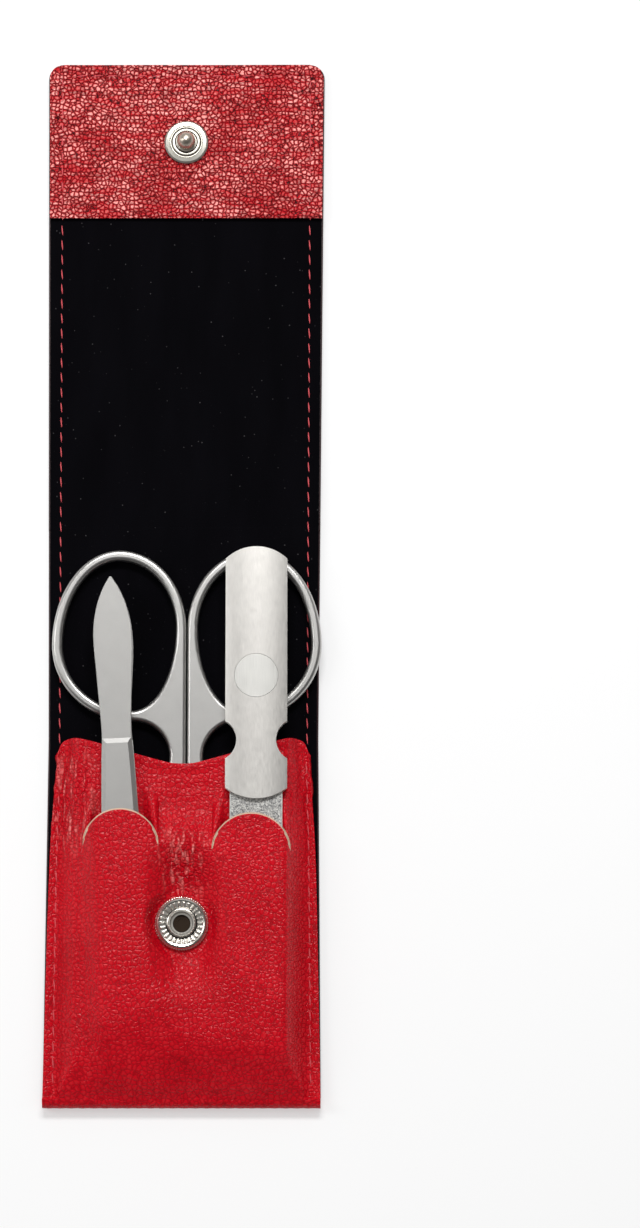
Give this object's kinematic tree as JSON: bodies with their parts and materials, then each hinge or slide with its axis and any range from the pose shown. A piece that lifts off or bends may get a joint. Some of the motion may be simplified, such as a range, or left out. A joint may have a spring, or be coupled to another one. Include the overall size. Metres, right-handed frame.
{
  "type": "manicure set case",
  "caption": "Slim flip-top leather manicure case, open flat, with a snap flap, arch-cut pocket, scissors, tweezers and a nail file.",
  "frame": {"origin": "under the middle of the open case, on the face that it lies on", "axes": "+X across the case, +Y from the pocket's bottom fold to the flap's tip, +Z out of the open case"},
  "size_m": [0.0516, 0.194, 0.0091],
  "materials": {
    "red_leather": "fine pebble grain, semi-gloss",
    "black_velour": "short matt nap",
    "satin_steel": "satin blasted",
    "polished_steel": "polished",
    "nickel": "bright nickel plate",
    "sapphire_grit": "fine sapphire grit, matt"
  },
  "bodies": {
    "case": {"back_leather": "red_leather", "back_lining": "black_velour", "pocket_front": "red_leather", "pocket_divider": "black_velour", "snap_socket": "nickel", "socket_spring": "nickel", "socket_rivet": "nickel"},
    "fold_band": {"fold_leather": "red_leather", "fold_lining": "black_velour"},
    "flap": {"flap_leather": "red_leather", "flap_lining": "black_velour", "flap_facing": "red_leather", "snap_stud": "nickel", "stud_rivet": "nickel"},
    "scissors": {"scissor_screw": "satin_steel"},
    "scissors_left": {"scissor_half_left": "satin_steel"},
    "scissors_right": {"scissor_half_right": "satin_steel"},
    "tweezers": {"tweezer_back_arm": "satin_steel"},
    "tweezers_front": {"tweezer_front_arm": "satin_steel"},
    "file": {"file_blade": "polished_steel", "file_grit_back": "sapphire_grit", "file_grit_front": "sapphire_grit", "file_handle_back": "polished_steel", "file_handle_front": "polished_steel", "file_rivet": "polished_steel"}
  },
  "joints": [
    {"name": "fold_lower", "type": "hinge", "parent": "case", "child": "fold_band", "pos_m": [0, 0.00473, 0.0016], "axis": [-1, 0, 0], "range_deg": [-90, 0]},
    {"name": "fold_upper", "type": "hinge", "parent": "fold_band", "child": "flap", "pos_m": [0, 0.01297, 0.0016], "axis": [-1, 0, 0], "range_deg": [-90, 0]},
    {"name": "scissors_slide", "type": "slide", "parent": "case", "child": "scissors", "axis": [0, 1, 0], "range_m": [0, 0.054]},
    {"name": "scissors_left_swing", "type": "hinge", "parent": "scissors", "child": "scissors_left", "pos_m": [0.0006, -0.05507, 0.00295], "axis": [0, 0, 1], "range_deg": [0, 12]},
    {"name": "scissors_right_swing", "type": "hinge", "parent": "scissors", "child": "scissors_right", "pos_m": [0.0006, -0.05507, 0.00295], "axis": [0, 0, -1], "range_deg": [0, 12]},
    {"name": "tweezers_slide", "type": "slide", "parent": "case", "child": "tweezers", "axis": [-0.0468, 0.9989, 0], "range_m": [0, 0.042]},
    {"name": "tweezers_squeeze", "type": "hinge", "parent": "tweezers", "child": "tweezers_front", "pos_m": [-0.0096, -0.07822, 0.00635], "axis": [-0.9989, -0.0468, 0], "range_deg": [0, 1.3], "stiffness_Nm_per_rad": 2},
    {"name": "file_slide", "type": "slide", "parent": "case", "child": "file", "axis": [0, 1, 0], "range_m": [0, 0.045]}
  ],
  "couplings": [
    {"joint": "fold_upper", "follows": "fold_lower", "ratio": 1},
    {"joint": "scissors_right_swing", "follows": "scissors_left_swing", "ratio": 1}
  ]
}
